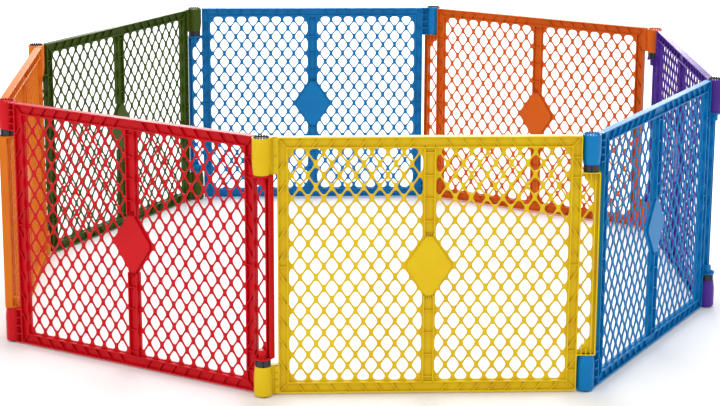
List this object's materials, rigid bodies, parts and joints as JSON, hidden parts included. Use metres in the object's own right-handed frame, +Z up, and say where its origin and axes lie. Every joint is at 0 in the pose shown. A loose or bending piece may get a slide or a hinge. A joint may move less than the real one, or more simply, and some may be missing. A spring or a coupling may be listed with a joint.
{
  "type": "play yard",
  "caption": "Folding play yard: moulded lattice panels in bright colours, hinged on vertical splined plugs into a closed free-standing ring.",
  "frame": {"origin": "on the floor, at the centre of the ring", "axes": "+Z up; -Y towards the middle of the side with the yellow panel; +X to the right of it, seen from outside"},
  "size_m": [1.993, 1.993, 0.668],
  "materials": {
    "yellow_plastic": "satin moulded",
    "blue_plastic": "satin moulded",
    "purple_plastic": "satin moulded",
    "red_orange_plastic": "satin moulded",
    "green_plastic": "satin moulded",
    "orange_plastic": "satin moulded",
    "red_plastic": "satin moulded",
    "black_plastic": "satin moulded",
    "rubber": "matt"
  },
  "bodies": {
    "green_panel": {"green_frame": "green_plastic", "green_lattice": "green_plastic"},
    "orange_left_plugs": {"orange_left_upper_plug": "black_plastic", "orange_left_lower_plug": "black_plastic"},
    "orange_left_panel": {"orange_left_frame": "orange_plastic", "orange_left_lattice": "orange_plastic", "orange_left_foot": "rubber"},
    "red_panel": {"red_frame": "red_plastic", "red_lattice": "red_plastic"},
    "red_plugs": {"red_upper_plug": "black_plastic", "red_lower_plug": "black_plastic", "red_foot": "rubber"},
    "yellow_plugs": {"yellow_upper_plug": "black_plastic", "yellow_lower_plug": "black_plastic"},
    "yellow_panel": {"yellow_frame": "yellow_plastic", "yellow_lattice": "yellow_plastic", "yellow_foot": "rubber"},
    "blue_right_panel": {"blue_right_frame": "blue_plastic", "blue_right_lattice": "blue_plastic"},
    "blue_right_plugs": {"blue_right_upper_plug": "black_plastic", "blue_right_lower_plug": "black_plastic", "blue_right_foot": "rubber"},
    "purple_plugs": {"purple_upper_plug": "black_plastic", "purple_lower_plug": "black_plastic"},
    "purple_panel": {"purple_frame": "purple_plastic", "purple_lattice": "purple_plastic", "purple_foot": "rubber"},
    "orange_back_panel": {"orange_back_frame": "red_orange_plastic", "orange_back_lattice": "red_orange_plastic"},
    "orange_back_plugs": {"orange_back_upper_plug": "black_plastic", "orange_back_lower_plug": "black_plastic", "orange_back_foot": "rubber"},
    "blue_back_plugs": {"blue_back_upper_plug": "black_plastic", "blue_back_lower_plug": "black_plastic"},
    "blue_back_panel": {"blue_back_frame": "blue_plastic", "blue_back_lattice": "blue_plastic", "blue_back_foot": "rubber"},
    "green_plugs": {"green_upper_plug": "black_plastic", "green_lower_plug": "black_plastic", "green_foot": "rubber"}
  },
  "joints": [
    {"name": "ring_fold", "type": "hinge", "parent": "green_panel", "child": "orange_left_plugs", "pos_m": [-0.97297, 0.30678, 0], "axis": [0, 0, -1], "range_deg": [-55, 118]},
    {"name": "orange_left_lift", "type": "slide", "parent": "orange_left_plugs", "child": "orange_left_panel", "axis": [0, 0, 1], "range_m": [0, 0.018]},
    {"name": "red_turn", "type": "hinge", "parent": "orange_left_plugs", "child": "red_panel", "pos_m": [-0.97297, -0.5065, 0], "axis": [0, 0, 1], "range_deg": [-55, 118]},
    {"name": "red_plug_turn", "type": "hinge", "parent": "orange_left_panel", "child": "red_plugs", "pos_m": [-0.97297, -0.5065, 0], "axis": [0, 0, 1], "range_deg": [-55, 118]},
    {"name": "yellow_turn", "type": "hinge", "parent": "red_panel", "child": "yellow_plugs", "pos_m": [-0.30678, -0.97297, 0], "axis": [0, 0, -1], "range_deg": [-55, 118]},
    {"name": "yellow_lift", "type": "slide", "parent": "yellow_plugs", "child": "yellow_panel", "axis": [0, 0, 1], "range_m": [0, 0.018]},
    {"name": "blue_right_turn", "type": "hinge", "parent": "yellow_plugs", "child": "blue_right_panel", "pos_m": [0.5065, -0.97297, 0], "axis": [0, 0, 1], "range_deg": [-55, 118]},
    {"name": "blue_right_plug_turn", "type": "hinge", "parent": "yellow_panel", "child": "blue_right_plugs", "pos_m": [0.5065, -0.97297, 0], "axis": [0, 0, 1], "range_deg": [-55, 118]},
    {"name": "purple_turn", "type": "hinge", "parent": "blue_right_panel", "child": "purple_plugs", "pos_m": [0.97297, -0.30678, 0], "axis": [0, 0, -1], "range_deg": [-55, 118]},
    {"name": "purple_lift", "type": "slide", "parent": "purple_plugs", "child": "purple_panel", "axis": [0, 0, 1], "range_m": [0, 0.018]},
    {"name": "orange_back_turn", "type": "hinge", "parent": "purple_plugs", "child": "orange_back_panel", "pos_m": [0.97297, 0.5065, 0], "axis": [0, 0, 1], "range_deg": [-55, 118]},
    {"name": "orange_back_plug_turn", "type": "hinge", "parent": "purple_panel", "child": "orange_back_plugs", "pos_m": [0.97297, 0.5065, 0], "axis": [0, 0, 1], "range_deg": [-55, 118]},
    {"name": "blue_back_turn", "type": "hinge", "parent": "orange_back_panel", "child": "blue_back_plugs", "pos_m": [0.30678, 0.97297, 0], "axis": [0, 0, -1], "range_deg": [-55, 118]},
    {"name": "blue_back_lift", "type": "slide", "parent": "blue_back_plugs", "child": "blue_back_panel", "axis": [0, 0, 1], "range_m": [0, 0.018]},
    {"name": "green_plug_turn", "type": "hinge", "parent": "blue_back_panel", "child": "green_plugs", "pos_m": [-0.5065, 0.97297, 0], "axis": [0, 0, 1], "range_deg": [-55, 118]}
  ],
  "couplings": [
    {"joint": "red_turn", "follows": "ring_fold", "ratio": 1},
    {"joint": "red_plug_turn", "follows": "ring_fold", "ratio": 1},
    {"joint": "yellow_turn", "follows": "ring_fold", "ratio": 1},
    {"joint": "blue_right_turn", "follows": "ring_fold", "ratio": 1},
    {"joint": "blue_right_plug_turn", "follows": "ring_fold", "ratio": 1},
    {"joint": "purple_turn", "follows": "ring_fold", "ratio": 1},
    {"joint": "orange_back_turn", "follows": "ring_fold", "ratio": 1},
    {"joint": "orange_back_plug_turn", "follows": "ring_fold", "ratio": 1},
    {"joint": "blue_back_turn", "follows": "ring_fold", "ratio": 1},
    {"joint": "green_plug_turn", "follows": "ring_fold", "ratio": 1}
  ]
}
